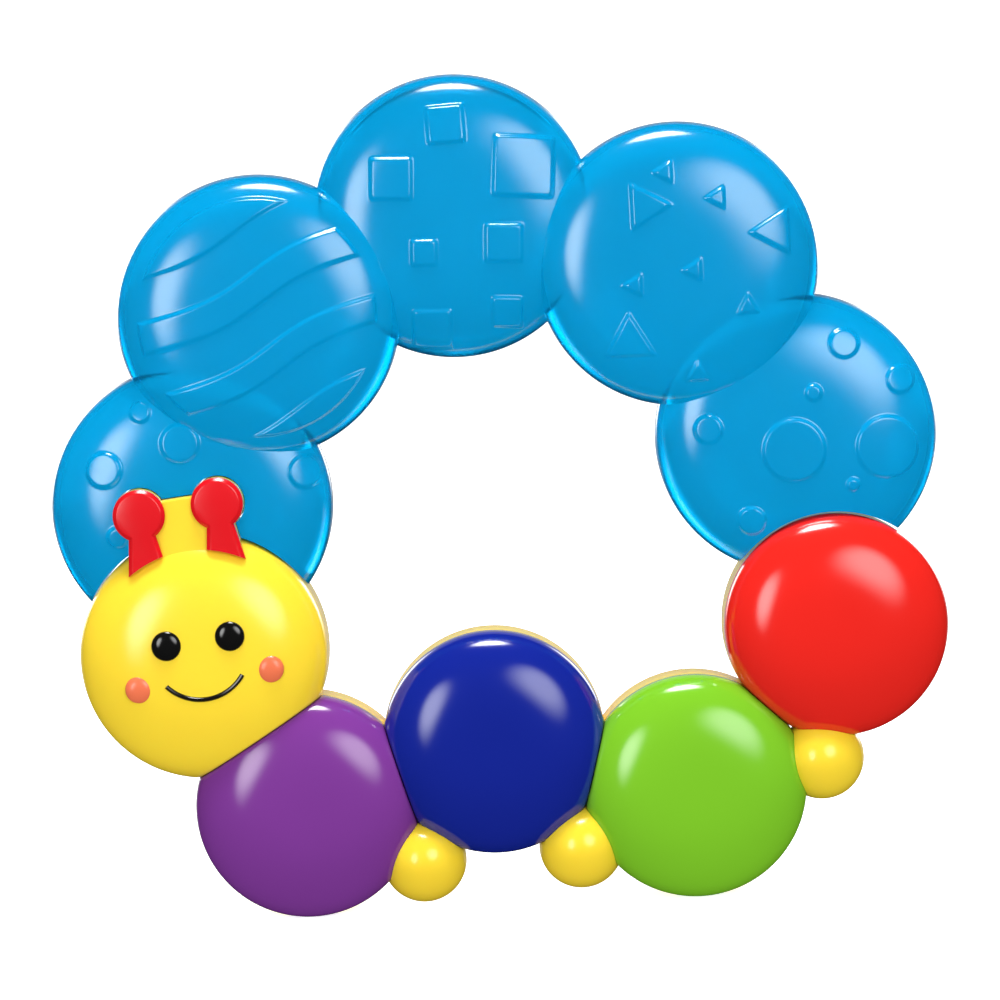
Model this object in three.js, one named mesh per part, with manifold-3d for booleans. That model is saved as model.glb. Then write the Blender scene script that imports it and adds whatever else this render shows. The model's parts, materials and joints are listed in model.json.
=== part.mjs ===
// A bug-shaped teething ring that is also a rattle. A chain of round segments closes on itself:
// the upper half is a soft water-filled teether of five discs, and the lower half is a rigid yellow
// casing with a head, four coloured caps, three feet and loose beads in its chambers.
//
// Units are millimetres. X runs across the ring and Z up. The face looks along -Y. The ring stands
// on its purple and green segments, and the origin is the middle of the box under it.
// "Depth" below is the distance in front of the casing's parting plane, so it is positive towards -Y.
import * as THREE from "three";
import { mergeVertices } from "three/addons/utils/BufferGeometryUtils.js";
import Module from "manifold-3d";

const wasm = await Module();
wasm.setup();

// ---------- driving dimensions ----------
const CAP_RADIUS = 19;
const HEAD_RADIUS = 21;
const TEETHER_RADIUS = 24;
const FOOT_RADIUS = 7.2;

const CASE_DEPTH = 10; // parting plane to the flat back
const CASE_WALL = 1.8;
const CASE_CORNER = 2; // rounding of the back's outer edge
const CAP_WALL = 1.8;
const GAP = 0.3; // between pieces that touch

// Each dome is a superellipse on a short straight wall: squareness 2 is an ellipse, more is boxier.
const CAP_DOME = { radius: CAP_RADIUS, wall: 2, rise: 6.8, squareness: 3 };
const HEAD_DOME = { radius: HEAD_RADIUS, wall: 2, rise: 8.2, squareness: 3 };
const TEETHER_DOME = { radius: TEETHER_RADIUS, wall: 1, rise: 6, squareness: 3.4 };

const TEETHER_WALL = 1.8;
const TEETHER_MIDDLE = -1; // depth of the weld between the teether's two shells
const TEETHER_STAGGER = 1.5; // every second disc sits this far forward, the others back
const TEETHER_CLEAR_HEAD = 0.5;
const TEETHER_CLEAR_RED = 0.8;

// The front of the whole toy is the tip of an eye, and the back is the casing's flat.
const EYE = { radius: 2.5, flange: 3.2, x: 5.4, z: 3.2, seat: 7.3, shoulder: 10.2, apex: 10.9 };
const CHEEK = { radius: 2.3, flange: 2.9, x: 11.2, z: -3.4, seat: 5.6, shoulder: 9.4, apex: 10.2 };
const PARTING_Y = (EYE.apex - CASE_DEPTH) / 2;

const HEAD_TILT = THREE.MathUtils.degToRad(6); // the head leans to its right

// Segment centres, as [x, z], round the ring from the head.
const HEAD = { at: [-50.9, 45.8], radius: HEAD_RADIUS };
const PURPLE = { at: [-34.8, CAP_RADIUS], radius: CAP_RADIUS };
const NAVY = { at: [-2.4, 28.3], radius: CAP_RADIUS };
const GREEN = { at: [31.4, CAP_RADIUS], radius: CAP_RADIUS };
const RED = { at: [56.7, 45.3], radius: CAP_RADIUS };
const TEETHER = [
  { at: [-51.7, 71.2], forward: false },
  { at: [-38.5, 102.7], forward: true },
  { at: [-4.6, 117.9], forward: false },
  { at: [32.7, 107.9], forward: true },
  { at: [51.6, 78], forward: false },
];
const FEET = [
  { name: "foot_cap_left", at: [-15.4, 8.5] },
  { name: "foot_cap_middle", at: [11.5, 9.5] },
  { name: "foot_cap_right", at: [53.3, 22.6] },
];

// Each rigid segment, with its colour, its neighbours along the chain and how far to the left and
// right of its centre its two beads lie when the toy stands.
const SEGMENTS = [
  { name: "purple", disc: PURPLE, next: [HEAD, NAVY], colour: 0x7b3d92, beads: [-8, 8] },
  { name: "navy", disc: NAVY, next: [PURPLE, GREEN], colour: 0x14268c, beads: [-4.5, 4.5] },
  { name: "green", disc: GREEN, next: [NAVY, RED], colour: 0x7bbd30, beads: [-8, 8] },
  { name: "red", disc: RED, next: [GREEN], colour: 0xe52a21, beads: [-8, 8] },
];

const WEB = 1.6; // wall between two chambers
const BOSS = { radius: 4.2, hole: 1.6, recess: 3, recessDepth: 4.5, top: -0.5 };
const POST = { radius: 2.7, hole: 1.6, bottom: -0.2, holeTop: 4.5 };
const SCREW = { head: 2.5, headHeight: 1.8, shank: 1.15, tip: 4 };
const BEAD = { radius: 3.2, depth: -0.8, clear: 0.8 };

// Antennae and the yellow forehead under them, in the head's own leaning frame.
const KNOB = { x: 6.65, z: 25.4, radius: 4.4 };
const STEM = { neckZ: 21.7, neckHalf: 2.3, footZ: 14.5, footHalf: 3.5 };
const FOREHEAD = { low: 12, top: 27.3, front: 6.8, seat: 6 };
const ANTENNA = { back: 6.3, front: 7.8, endRadius: 18.4, peg: 1.4, pegBack: 4.2 };

const SMILE = { centreZ: 1.5, radius: 8.2, half: 52, width: 0.55 };

// The soft tongues that hold the teether's two ends inside the casing.
const TONGUE = { half: 5.5, back: -5.2, front: -1.2, hole: 1.7, holeX: 3.6 };
const HEAD_TONGUE = { inner: 16.5, outer: 31, holeAt: 22.5 };
const RED_TONGUE = { inner: 11, outer: 23.5, holeAt: 14 };
const PIN_RADIUS = 1.4;
const FILL = { channel: 1.3, plug: 1, plugHead: 1.9, headLength: 1, plugLength: 5, depth: -3.2 };
const WATER_TOP = 128; // water stands this high in the top disc, with air above

// How many sides a round shape has. Surfaces that nobody sees are coarser.
const SIDES = { head: 24, disc: 24, hollow: 14, foot: 14, knob: 12, button: 10, boss: 8, hole: 6 };
const RINGS = { head: 4, disc: 4, hollow: 3, soft: 2, foot: 8, bead: 6 };

const YELLOW = 0xffdf3c;
const AQUA = 0x0c9ee0;

// ---------- making solids ----------
const BIG = 400;

// A three.js geometry, moved by a matrix, as a manifold solid with its faces pointing out.
function solid(geometry, matrix = new THREE.Matrix4()) {
  const bare = geometry.clone().deleteAttribute("normal").deleteAttribute("uv");
  const merged = mergeVertices(bare.applyMatrix4(matrix), 1e-4);
  const index = merged.index.array;
  const kept = [];
  for (let i = 0; i < index.length; i += 3) {
    const [a, b, c] = [index[i], index[i + 1], index[i + 2]];
    if (a !== b && b !== c && c !== a) kept.push(a, b, c);
  }
  const vertProperties = merged.attributes.position.array;
  const made = (triVerts) =>
    new wasm.Manifold(new wasm.Mesh({ numProp: 3, vertProperties, triVerts }));
  const first = made(new Uint32Array(kept));
  return first.volume() > 0 ? first : made(new Uint32Array(kept.reverse()));
}

const union = (solids) => solids.reduce((a, b) => a.add(b));

// A profile of [radius, depth] points turned about the Y axis through `at`.
function turned(profile, at, segments) {
  const points = profile.map(([r, depth]) => new THREE.Vector2(r, PARTING_Y - depth));
  const shift = new THREE.Matrix4().makeTranslation(at[0], 0, at[1]);
  return solid(new THREE.LatheGeometry(points, segments), shift);
}

// A round bar along Y between two depths.
const bar = (radius, from, to, at, segments) =>
  turned([[0, from], [radius, from], [radius, to], [0, to]], at, segments);

const sphere = (radius, at, depth, segments, rings) =>
  solid(
    new THREE.SphereGeometry(radius, segments, rings),
    new THREE.Matrix4().makeTranslation(at[0], PARTING_Y - depth, at[1]),
  );

// The points of a dome from its crown to its rim. inset makes it smaller all round for a hollow.
function dome({ radius, wall, rise, squareness }, rings, inset = 0) {
  const points = [];
  for (let i = 0; i <= rings; i++) {
    const t = (i / rings) * (Math.PI / 2);
    const r = (radius - inset) * Math.sin(t) ** (2 / squareness);
    points.push([r, wall + (rise - inset) * Math.cos(t)]);
  }
  points[0][0] = 0;
  return points;
}

const domeSolid = (shape, at, segments, rings, inset = 0) =>
  turned([...dome(shape, rings, inset), [shape.radius - inset, 0], [0, 0]], at, segments);

// A flat outline in a leaning frame (x, z from `at`) with thickness between two depths.
function plate(shape, from, to, at, lean, steps = 8) {
  const geometry = new THREE.ExtrudeGeometry(shape, {
    depth: to - from,
    bevelEnabled: false,
    curveSegments: steps,
  });
  const matrix = new THREE.Matrix4()
    .makeTranslation(at[0], PARTING_Y - from, at[1])
    .multiply(new THREE.Matrix4().makeRotationY(-lean))
    .multiply(new THREE.Matrix4().makeRotationX(Math.PI / 2));
  return solid(geometry, matrix);
}

function rectangle(x0, z0, x1, z1) {
  return new THREE.Shape([
    new THREE.Vector2(x0, z0),
    new THREE.Vector2(x1, z0),
    new THREE.Vector2(x1, z1),
    new THREE.Vector2(x0, z1),
  ]);
}

// A point given in a leaning frame, as [x, z] of the part.
function leaning(at, lean, x, z) {
  const [c, s] = [Math.cos(lean), Math.sin(lean)];
  return [at[0] + x * c - z * s, at[1] + x * s + z * c];
}

// Two overlapping discs meet on their common chord. Keeps a's side of it, `clear` short of the chord.
function keepSide(made, a, b, clear) {
  const across = new THREE.Vector2(b.at[0] - a.at[0], b.at[1] - a.at[1]);
  const apart = across.length();
  across.normalize();
  const chord = (apart ** 2 + a.radius ** 2 - b.radius ** 2) / (2 * apart);
  const limit = a.at[0] * across.x + a.at[1] * across.y + chord - clear;
  return made.trimByPlane([-across.x, 0, -across.y], -limit);
}

const keepSides = (made, disc, others, clear) =>
  others.reduce((kept, other) => keepSide(kept, disc, other, clear), made);

const behind = (made, depth) => made.trimByPlane([0, 1, 0], PARTING_Y - depth);
const inFront = (made, depth) => made.trimByPlane([0, -1, 0], depth - PARTING_Y);

// ---------- shared shapes ----------
const inHead = (x, z) => leaning(HEAD.at, HEAD_TILT, x, z);
const redLean = Math.atan2(
  RED.at[0] - TEETHER[4].at[0],
  TEETHER[4].at[1] - RED.at[1],
);

// One antenna's outline: a round knob on a flared stem. side is -1 or 1.
function antennaSolid(side, grow, from, to) {
  const x = side * KNOB.x;
  const stem = new THREE.Shape([
    new THREE.Vector2(x - STEM.footHalf - grow, STEM.footZ),
    new THREE.Vector2(x + STEM.footHalf + grow, STEM.footZ),
    new THREE.Vector2(x + STEM.neckHalf + grow, STEM.neckZ),
    new THREE.Vector2(x + STEM.neckHalf + grow, KNOB.z),
    new THREE.Vector2(x - STEM.neckHalf - grow, KNOB.z),
    new THREE.Vector2(x - STEM.neckHalf - grow, STEM.neckZ),
  ]);
  const knob = bar(KNOB.radius + grow, from, to, inHead(x, KNOB.z), SIDES.knob);
  return knob.add(plate(stem, from, to, HEAD.at, HEAD_TILT));
}

// The forehead: both antenna outlines and what lies between them.
function foreheadSolid(grow, from, to) {
  const between = rectangle(-KNOB.x, FOREHEAD.low, KNOB.x, FOREHEAD.top + grow);
  return union([
    antennaSolid(-1, grow, from, to),
    antennaSolid(1, grow, from, to),
    plate(between, from, to, HEAD.at, HEAD_TILT),
  ]);
}

function tongueSolid(at, lean, { inner, outer }, grow) {
  const outline = rectangle(-TONGUE.half - grow, inner - grow, TONGUE.half + grow, outer);
  return plate(outline, TONGUE.back - grow, TONGUE.front + grow, at, lean);
}

const tonguePins = (at, lean, { holeAt }, radius, from, to) =>
  union(
    [-1, 1].map((side) =>
      bar(radius, from, to, leaning(at, lean, side * TONGUE.holeX, holeAt), SIDES.hole),
    ),
  );

// ---------- rear casing ----------
const panProfile = (radius) => [
  [0, -CASE_DEPTH],
  [radius - CASE_CORNER, -CASE_DEPTH],
  [radius - CASE_CORNER * 0.3, -CASE_DEPTH + CASE_CORNER * 0.3],
  [radius, -CASE_DEPTH + CASE_CORNER],
  [radius, 0],
  [0, 0],
];

function rearCasing() {
  const discs = [{ disc: HEAD, next: [PURPLE] }, ...SEGMENTS];
  const floor = -CASE_DEPTH + CASE_WALL;
  const footBalls = FEET.map(({ at }) => sphere(FOOT_RADIUS, at, 0, SIDES.foot, RINGS.foot));
  const pans = discs.map(({ disc }) => turned(panProfile(disc.radius), disc.at, SIDES.disc));
  const outer = union([
    ...pans,
    ...footBalls.map((ball) => behind(ball, 0)),
    foreheadSolid(0, -CASE_DEPTH, 0),
  ]);

  const chambers = discs.map(({ disc, next }) => {
    const room = bar(disc.radius - CASE_WALL, floor, 1, disc.at, SIDES.foot);
    return footBalls.reduce((left, ball) => left.subtract(ball), keepSides(room, disc, next, WEB / 2));
  });
  const footCups = FEET.map(({ at }) =>
    sphere(FOOT_RADIUS - CASE_WALL, at, 0, SIDES.boss, RINGS.bead),
  );
  const hollow = union([...chambers, ...footCups, foreheadSolid(-CASE_WALL, floor, 1)]);

  const bosses = discs.map(({ disc }) => bar(BOSS.radius, floor - 1, BOSS.top, disc.at, SIDES.boss));
  const pins = [
    tonguePins(HEAD.at, HEAD_TILT, HEAD_TONGUE, PIN_RADIUS, floor - 1, TONGUE.front),
    tonguePins(RED.at, redLean, RED_TONGUE, PIN_RADIUS, floor - 1, TONGUE.front),
  ];
  const screwHoles = discs.flatMap(({ disc }) => [
    bar(BOSS.hole, -CASE_DEPTH - 1, 1, disc.at, SIDES.hole),
    bar(BOSS.recess, -CASE_DEPTH - 1, -CASE_DEPTH + BOSS.recessDepth, disc.at, SIDES.boss),
  ]);
  // The tongues lie in slots cut down from the rim.
  const slots = [
    tongueSolid(HEAD.at, HEAD_TILT, HEAD_TONGUE, GAP).add(
      plate(
        rectangle(-TONGUE.half - GAP, HEAD_TONGUE.inner, TONGUE.half + GAP, HEAD_TONGUE.outer),
        TONGUE.front, 1, HEAD.at, HEAD_TILT,
      ),
    ),
    tongueSolid(RED.at, redLean, RED_TONGUE, GAP).add(
      plate(
        rectangle(-TONGUE.half - GAP, RED_TONGUE.inner, TONGUE.half + GAP, RED_TONGUE.outer),
        TONGUE.front, 1, RED.at, redLean,
      ),
    ),
  ];
  return outer
    .subtract(hollow)
    .subtract(union(slots))
    .add(union([...bosses, ...pins]))
    .subtract(union(screwHoles));
}

// ---------- front pieces ----------
// A screw post that hangs from the inside of a dome.
const postSolid = (at, top) => bar(POST.radius, POST.bottom, top, at, SIDES.boss);
const postHole = (at) => bar(POST.hole, POST.bottom - 1, POST.holeTop, at, SIDES.hole);

function capSolid({ disc, next }) {
  const whole = domeSolid(CAP_DOME, disc.at, SIDES.disc, RINGS.disc);
  const room = domeSolid(CAP_DOME, disc.at, SIDES.hollow, RINGS.hollow, CAP_WALL);
  const outer = keepSides(inFront(whole, GAP), disc, next, GAP / 2);
  const inner = keepSides(room, disc, next, CAP_WALL);
  const post = inFront(postSolid(disc.at, CAP_DOME.wall + CAP_DOME.rise - 1), GAP);
  return outer.subtract(inner).add(post).subtract(postHole(disc.at));
}

// A foot's front half. It overlaps its two neighbours' edges, so their domes are cut out of it.
function footCap({ at }) {
  const grown = { ...CAP_DOME, radius: CAP_RADIUS + GAP, rise: CAP_DOME.rise + GAP };
  const ball = inFront(sphere(FOOT_RADIUS, at, 0, SIDES.foot, RINGS.foot), GAP);
  const cut = union(SEGMENTS.map(({ disc }) => domeSolid(grown, disc.at, SIDES.disc, RINGS.disc)));
  const wall = union(
    SEGMENTS.map(({ disc }) => bar(CAP_RADIUS + CAP_WALL, -1, FOOT_RADIUS, disc.at, SIDES.disc)),
  );
  const core = sphere(FOOT_RADIUS - CAP_WALL, at, 0, SIDES.boss, RINGS.bead).subtract(wall);
  return ball.subtract(cut).subtract(core);
}

// A curve that lies on the head's dome, for the smile.
class SmileCurve extends THREE.Curve {
  getPoint(t, target = new THREE.Vector3()) {
    const angle = THREE.MathUtils.degToRad(-90 + SMILE.half * (2 * t - 1));
    const x = SMILE.radius * Math.cos(angle);
    const z = SMILE.centreZ + SMILE.radius * Math.sin(angle);
    const [px, pz] = inHead(x, z);
    return target.set(px, PARTING_Y - headDepth(Math.hypot(x, z)), pz);
  }
}

const headDepth = (r) =>
  HEAD_DOME.wall +
  HEAD_DOME.rise * Math.sqrt(1 - (r / HEAD_DOME.radius) ** HEAD_DOME.squareness);

function smileGroove() {
  const section = new THREE.Shape().absarc(0, 0, SMILE.width, 0, 2 * Math.PI);
  return solid(
    new THREE.ExtrudeGeometry(section, {
      steps: 8,
      curveSegments: 3,
      extrudePath: new SmileCurve(),
    }),
  );
}

const FACE_BUTTONS = [
  { name: "eye_left", shape: EYE, side: -1, colour: 0x1c1e1d },
  { name: "eye_right", shape: EYE, side: 1, colour: 0x1c1e1d },
  { name: "cheek_left", shape: CHEEK, side: -1, colour: 0xec7f58 },
  { name: "cheek_right", shape: CHEEK, side: 1, colour: 0xec7f58 },
];

const ANTENNAE = [
  { name: "antenna_left", side: -1 },
  { name: "antenna_right", side: 1 },
];

// A domed button with a flange behind the face that keeps it in.
function faceButton({ shape, side }) {
  const profile = [
    [0, shape.seat - 1],
    [shape.flange, shape.seat - 1],
    [shape.flange, shape.seat],
    [shape.radius, shape.seat],
    [shape.radius, shape.shoulder],
    [shape.radius * 0.75, shape.shoulder + (shape.apex - shape.shoulder) * 0.65],
    [0, shape.apex],
  ];
  return turned(profile, inHead(side * shape.x, shape.z), SIDES.button);
}

function headFace() {
  const whole = domeSolid(HEAD_DOME, HEAD.at, SIDES.head, RINGS.head);
  const room = domeSolid(HEAD_DOME, HEAD.at, SIDES.hollow, RINGS.hollow, CAP_WALL);
  const shell = inFront(whole, GAP)
    .add(foreheadSolid(0, GAP, FOREHEAD.front))
    .subtract(keepSide(room, HEAD, PURPLE, CAP_WALL))
    .subtract(foreheadSolid(-CAP_WALL, 0, FOREHEAD.front - CAP_WALL));
  const post = inFront(postSolid(HEAD.at, HEAD_DOME.wall + HEAD_DOME.rise - 1), GAP);
  const buttonHoles = FACE_BUTTONS.map(({ shape, side }) => {
    const at = inHead(side * shape.x, shape.z);
    return bar(shape.radius + GAP, shape.seat - 2, shape.apex + 1, at, SIDES.button);
  });
  const dome = bar(ANTENNA.endRadius - GAP, FOREHEAD.seat - 1, BIG, HEAD.at, SIDES.head);
  const seats = ANTENNAE.map(({ side }) =>
    antennaSolid(side, 1, FOREHEAD.seat, HEAD_DOME.wall + HEAD_DOME.rise)
      .subtract(dome)
      .add(bar(ANTENNA.peg + GAP, 0, FOREHEAD.front, inHead(side * KNOB.x, KNOB.z), SIDES.hole)),
  );
  return keepSide(shell.add(post), HEAD, PURPLE, GAP / 2)
    .subtract(postHole(HEAD.at))
    .subtract(union([...buttonHoles, ...seats]))
    .subtract(smileGroove());
}

function antenna({ side }) {
  const body = antennaSolid(side, 0, ANTENNA.back, ANTENNA.front);
  const head = bar(ANTENNA.endRadius, 0, BIG, HEAD.at, SIDES.head);
  const knob = inHead(side * KNOB.x, KNOB.z);
  const peg = bar(ANTENNA.peg, ANTENNA.pegBack, ANTENNA.back + 1, knob, SIDES.hole);
  return body.subtract(head).add(peg);
}

// ---------- teether ----------
// All five discs as one solid, or their hollow when inset is the wall.
function teetherDiscs(inset, segments, rings) {
  return union(
    TEETHER.map(({ at, forward }) => {
      const middle = TEETHER_MIDDLE + (forward ? 1 : -1) * TEETHER_STAGGER;
      const half = dome(TEETHER_DOME, rings, inset);
      const front = half.map(([r, depth]) => [r, middle + depth]);
      const back = half.map(([r, depth]) => [r, middle - depth]).reverse();
      return turned([...front, ...back], at, segments);
    }),
  );
}

// What the head and the red segment take out of the teether's two ends.
function teetherEnds(grow) {
  return union([
    bar(HEAD_RADIUS + TEETHER_CLEAR_HEAD + grow, -15, 15, HEAD.at, SIDES.disc),
    foreheadSolid(TEETHER_CLEAR_HEAD + grow, -15, 15),
    bar(CAP_RADIUS + TEETHER_CLEAR_RED + grow, -15, 15, RED.at, SIDES.disc),
  ]);
}

const fillLine = (radius, from, to) =>
  solid(
    new THREE.CylinderGeometry(radius, radius, to - from, SIDES.hole),
    new THREE.Matrix4()
      .makeTranslation(RED.at[0], PARTING_Y - FILL.depth, RED.at[1])
      .multiply(new THREE.Matrix4().makeRotationY(-redLean))
      .multiply(new THREE.Matrix4().makeTranslation(0, 0, (from + to) / 2))
      .multiply(new THREE.Matrix4().makeRotationX(Math.PI / 2)),
  );

function teetherShells() {
  const hollow = teetherDiscs(TEETHER_WALL, SIDES.hollow, RINGS.soft).subtract(
    teetherEnds(TEETHER_WALL),
  );
  const shell = teetherDiscs(0, SIDES.disc, RINGS.disc).subtract(teetherEnds(0)).subtract(hollow);
  const tongues = [
    tongueSolid(HEAD.at, HEAD_TILT, HEAD_TONGUE, 0).subtract(
      tonguePins(HEAD.at, HEAD_TILT, HEAD_TONGUE, TONGUE.hole, -15, 15),
    ),
    tongueSolid(RED.at, redLean, RED_TONGUE, 0).subtract(
      tonguePins(RED.at, redLean, RED_TONGUE, TONGUE.hole, -15, 15),
    ),
  ];
  const rear = behind(shell, TEETHER_MIDDLE - GAP / 2)
    .add(union(tongues))
    .subtract(fillLine(FILL.channel, RED_TONGUE.inner - 1, RED_TONGUE.outer + 3))
    .subtract(fillLine(FILL.plugHead + GAP, RED_TONGUE.inner - 1, RED_TONGUE.inner + FILL.headLength));
  return { front: inFront(shell, TEETHER_MIDDLE + GAP / 2), rear };
}

// The water keeps clear of the tongues, which reach a little way into the hollow.
function waterFill() {
  const inset = TEETHER_WALL + GAP;
  return teetherDiscs(inset, SIDES.hollow, RINGS.soft)
    .subtract(teetherEnds(inset))
    .subtract(tongueSolid(HEAD.at, HEAD_TILT, HEAD_TONGUE, GAP))
    .subtract(tongueSolid(RED.at, redLean, RED_TONGUE, GAP))
    .trimByPlane([0, 0, -1], -WATER_TOP);
}

const fillPlug = () => {
  const start = RED_TONGUE.inner - 0.5;
  return fillLine(FILL.plugHead, start, start + FILL.headLength).add(
    fillLine(FILL.plug, start, start + FILL.plugLength),
  );
};

// ---------- hidden hardware ----------
function screw(disc) {
  const under = -CASE_DEPTH + BOSS.recessDepth - GAP;
  return bar(SCREW.head, under - SCREW.headHeight, under, disc.at, SIDES.boss).add(
    bar(SCREW.shank, under - 1, SCREW.tip, disc.at, SIDES.hole),
  );
}

// A bead at rest on the round floor of its chamber.
function bead({ disc }, x) {
  const reach = disc.radius - CASE_WALL - BEAD.radius - BEAD.clear;
  const drop = Math.sqrt(reach ** 2 - x ** 2);
  return sphere(BEAD.radius, [disc.at[0] + x, disc.at[1] - drop], BEAD.depth, SIDES.boss, RINGS.bead);
}

// ---------- the toy ----------
const toy = new THREE.Group();

function add(name, made, colour, roughness, metalness = 0) {
  const { numProp, numVert, vertProperties, triVerts } = made.getMesh();
  const points = new Float32Array(numVert * 3);
  for (let i = 0; i < numVert; i++) {
    points.set(vertProperties.subarray(i * numProp, i * numProp + 3), i * 3);
  }
  const geometry = new THREE.BufferGeometry()
    .setAttribute("position", new THREE.BufferAttribute(points, 3))
    .setIndex(new THREE.BufferAttribute(triVerts, 1));
  geometry.computeVertexNormals();
  const material = new THREE.MeshStandardMaterial({ color: colour, roughness, metalness });
  const mesh = new THREE.Mesh(geometry, material);
  mesh.name = name;
  toy.add(mesh);
}

add("rear_casing", rearCasing(), YELLOW, 0.3);
add("head_face", headFace(), YELLOW, 0.25);
for (const segment of SEGMENTS) {
  add(`cap_${segment.name}`, capSolid(segment), segment.colour, 0.15);
}
for (const foot of FEET) add(foot.name, footCap(foot), YELLOW, 0.25);
for (const piece of ANTENNAE) add(piece.name, antenna(piece), 0xdd0f1c, 0.3);
for (const button of FACE_BUTTONS) add(button.name, faceButton(button), button.colour, 0.2);

const teether = teetherShells();
add("teether_front_shell", teether.front, AQUA, 0.3);
add("teether_rear_shell", teether.rear, AQUA, 0.3);
add("water_fill", waterFill(), 0x6cc7ee, 0.05);
add("fill_plug", fillPlug(), AQUA, 0.4);

const screwed = [{ name: "head", disc: HEAD }, ...SEGMENTS];
for (const { name, disc } of screwed) add(`screw_${name}`, screw(disc), 0xb4b6b9, 0.35, 1);

for (const segment of SEGMENTS) {
  segment.beads.forEach((x, i) => {
    add(`bead_${segment.name}_${i + 1}`, bead(segment, x), 0xf4f2ea, 0.4);
  });
}

export default toy;
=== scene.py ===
"""A bug-shaped teething ring: fine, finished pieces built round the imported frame.

Laid out as an add-on. Lengths are in metres. X runs across the ring, Z up, and the face looks
along -Y. "Depth" is the distance in front of the casing's parting plane, positive towards -Y.
"""

import json
import math
import random

import bmesh
import bpy
from bpy.props import FloatProperty, FloatVectorProperty, PointerProperty
from mathutils import Matrix, Vector


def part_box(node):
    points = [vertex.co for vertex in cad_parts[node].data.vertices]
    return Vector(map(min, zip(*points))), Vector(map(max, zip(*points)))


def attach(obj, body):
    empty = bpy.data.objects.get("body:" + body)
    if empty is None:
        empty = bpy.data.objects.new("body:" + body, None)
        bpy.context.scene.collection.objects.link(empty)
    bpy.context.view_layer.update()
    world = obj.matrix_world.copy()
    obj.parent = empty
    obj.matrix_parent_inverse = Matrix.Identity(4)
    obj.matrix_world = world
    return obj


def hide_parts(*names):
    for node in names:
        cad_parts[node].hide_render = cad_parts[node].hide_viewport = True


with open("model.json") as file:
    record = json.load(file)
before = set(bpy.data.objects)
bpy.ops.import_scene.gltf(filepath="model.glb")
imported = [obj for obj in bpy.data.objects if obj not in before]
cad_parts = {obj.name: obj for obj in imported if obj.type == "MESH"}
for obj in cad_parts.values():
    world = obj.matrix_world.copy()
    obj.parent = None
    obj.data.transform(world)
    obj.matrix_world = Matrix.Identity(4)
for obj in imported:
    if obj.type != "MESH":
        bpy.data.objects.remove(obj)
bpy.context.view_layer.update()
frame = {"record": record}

bl_info = {
    "name": "Teething ring",
    "version": (1, 0, 0),
    "blender": (4, 5, 0),
    "location": "3D View > Sidebar > Teething ring",
    "description": "Builds a water-filled teething ring and its studio",
    "category": "Add Mesh",
}

MM = 0.001
TAU = 2 * math.pi
BODY = "toy"


# ---------- places from the frame ----------
def middle_of(node):
    """The middle of a CAD node's box, as (x, z)."""
    low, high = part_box(node)
    return Vector(((low.x + high.x) / 2, (low.z + high.z) / 2))


PARTING_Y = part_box("rear_casing")[0].y
BACK_DEPTH = PARTING_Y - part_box("rear_casing")[1].y
SEGMENT_AT = {name: middle_of(f"screw_{name}") for name in ("head", "purple", "navy", "green", "red")}

# Each coloured segment with the neighbours that its cap meets.
CAP_NEIGHBOURS = {
    "purple": ("head", "navy"),
    "navy": ("purple", "green"),
    "green": ("navy", "red"),
    "red": ("green",),
}
FOOT_AT = {
    "left": Vector((-15.4, 8.5)) * MM,
    "middle": Vector((11.5, 9.5)) * MM,
    "right": Vector((53.3, 22.6)) * MM,
}
# The soft discs from the head round to the red segment, and whether each stands forward.
LOBES = (
    (Vector((-51.7, 71.2)) * MM, False),
    (Vector((-38.5, 102.7)) * MM, True),
    (Vector((-4.6, 117.9)) * MM, False),
    (Vector((32.7, 107.9)) * MM, True),
    (Vector((51.6, 78.0)) * MM, False),
)


# ---------- what a user would change ----------
def length(name, about, millimetres):
    return FloatProperty(name=name, description=about, default=millimetres * MM, unit="LENGTH")


def colour(name, about, rgb):
    return FloatVectorProperty(
        name=name, description=about, default=rgb, subtype="COLOR", size=3, min=0, max=1
    )


class ToySizes(bpy.types.PropertyGroup):
    cap_radius: length("Cap radius", "Radius of a coloured segment", 19)
    cap_rise: length("Cap rise", "Height of a cap's dome above its straight wall", 6.8)
    head_radius: length("Head radius", "Radius of the head", 21)
    head_rise: length("Head rise", "Height of the head's dome above its straight wall", 8.2)
    wall_height: length("Wall height", "Straight wall under each dome", 2)
    shell: length("Shell", "Thickness of the rigid shells", 1.8)
    foot_radius: length("Foot radius", "Radius of a foot's ball", 7.2)
    lobe_radius: length("Soft disc radius", "Radius of one disc of the teether", 24)
    lobe_rise: length("Soft disc rise", "Height of a soft disc's dome on each side", 6)
    lobe_stagger: length("Soft disc stagger", "How far every second disc stands forward", 1.5)
    lobe_middle: length("Soft disc middle", "Depth of the teether's middle plane", -1)
    skin: length("Skin", "Thickness of the teether's soft wall", 1.8)
    relief: length("Relief", "Height of the raised patterns on the soft discs", 0.45)
    seam: length("Seam", "Half the gap between two caps", 0.06)
    head_tilt: FloatProperty(
        name="Head tilt",
        description="How far the head leans towards the outside of the ring",
        default=math.radians(6),
        subtype="ANGLE",
    )


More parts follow.
